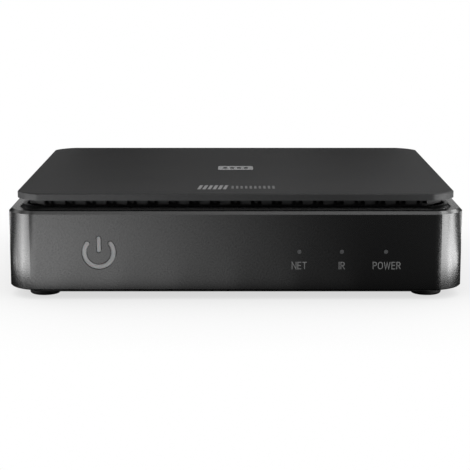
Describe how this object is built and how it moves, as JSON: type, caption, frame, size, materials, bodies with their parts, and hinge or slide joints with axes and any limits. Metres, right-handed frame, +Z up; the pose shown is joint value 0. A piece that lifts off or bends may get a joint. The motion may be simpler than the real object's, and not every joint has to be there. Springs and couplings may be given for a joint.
{
  "type": "streaming media player",
  "caption": "Low square-sided set-top box with an overhanging lid above a vent gap, a lit power key, indicator windows, round rubber feet and a recessed rear connector bay.",
  "frame": {"origin": "middle of the footprint on the surface that the feet stand on", "axes": "+X to the right seen from the front, +Y from the front face to the rear connectors, +Z up"},
  "size_m": [0.15, 0.1261, 0.0349],
  "materials": {
    "shell_gloss": "dark polished moulding",
    "cover_matte": "fine matt texture",
    "base_matte": "coarse matt texture",
    "panel_matte": "fine matt texture",
    "badge_metal": "brushed inlay",
    "label_film": "satin film, blank",
    "key_lens": "satin grey translucent moulding",
    "clear_guide": "clear moulding",
    "foot_rubber": "matt rubber",
    "screw_steel": "dark zinc plate",
    "plated_steel": "bright nickel plate",
    "sink_aluminium": "black anodised",
    "can_aluminium": "satin can with dark sleeve",
    "board_resin": "green solder mask over glass resin",
    "chip_resin": "moulded resin",
    "coil_ferrite": "ferrite and resin",
    "pad_silicone": "soft silicone pad",
    "socket_black": "moulded black resin",
    "socket_white": "moulded ivory resin",
    "contact_gold": "gold flash",
    "ribbon_film": "white film with conductor lines",
    "led_body": "white package with lens",
    "switch_cap": "moulded resin"
  },
  "bodies": {
    "housing": {"shell": "shell_gloss", "bottom_plate": "base_matte", "top_cover": "cover_matte", "top_badge": "badge_metal", "rear_panel": "panel_matte", "case_screws": "screw_steel", "rating_label": "label_film", "key_retainer": "base_matte", "front_board": "board_resin", "front_board_screws": "screw_steel", "tact_switch_body": "chip_resin", "light_guide": "clear_guide", "status_leds": "led_body", "ir_receiver": "chip_resin", "ribbon_cable": "ribbon_film", "front_ribbon_socket": "socket_white", "main_ribbon_socket": "socket_white", "main_board": "board_resin", "main_board_screws": "screw_steel", "soc_chip": "chip_resin", "thermal_pad": "pad_silicone", "heat_sink": "sink_aluminium", "heat_sink_pins": "socket_black", "memory_chips": "chip_resin", "flash_chip": "chip_resin", "power_inductors": "coil_ferrite", "capacitors": "can_aluminium", "crystal_cans": "plated_steel", "ethernet_transformer": "chip_resin", "wifi_board": "board_resin", "wifi_shield": "plated_steel", "wifi_antenna": "plated_steel", "dc_jack_body": "socket_black", "dc_jack_pin": "plated_steel", "network_jack_shell": "plated_steel", "network_jack_insert": "socket_black", "network_jack_contacts": "contact_gold", "video_jack_shell": "plated_steel", "video_jack_tongue": "socket_black", "av_jack": "socket_black", "optical_jack_body": "socket_black", "optical_shutter_pin": "screw_steel", "reset_switch_body": "chip_resin", "usb_socket_1_shell": "plated_steel", "usb_socket_1_tongue": "socket_white", "usb_socket_2_shell": "plated_steel", "usb_socket_2_tongue": "socket_white", "foot_front_left": "foot_rubber", "foot_front_right": "foot_rubber", "foot_rear_left": "foot_rubber", "foot_rear_right": "foot_rubber"},
    "power_key": {"power_key": "key_lens"},
    "switch_plunger": {"tact_switch_plunger": "switch_cap"},
    "shutter": {"optical_shutter": "socket_black"},
    "reset_button": {"reset_plunger": "switch_cap"}
  },
  "joints": [
    {"name": "key_press", "type": "slide", "parent": "housing", "child": "power_key", "axis": [0, 1, 0], "range_m": [0, 0.0003], "stiffness_N_per_m": 1000, "springref_m": -0.001},
    {"name": "switch_press", "type": "slide", "parent": "housing", "child": "switch_plunger", "axis": [0, 1, 0], "range_m": [0, 0.0003]},
    {"name": "shutter_swing", "type": "hinge", "parent": "housing", "child": "shutter", "pos_m": [-0.0495, 0.0601, 0.0181], "axis": [-1, 0, 0], "range_deg": [0, 90], "stiffness_Nm_per_rad": 0.0002, "springref_deg": -20.05},
    {"name": "reset_press", "type": "slide", "parent": "housing", "child": "reset_button", "axis": [0, -1, 0], "range_m": [0, 0.00025], "stiffness_N_per_m": 900, "springref_m": -0.001}
  ],
  "couplings": [
    {"joint": "switch_press", "follows": "key_press", "ratio": 1}
  ]
}
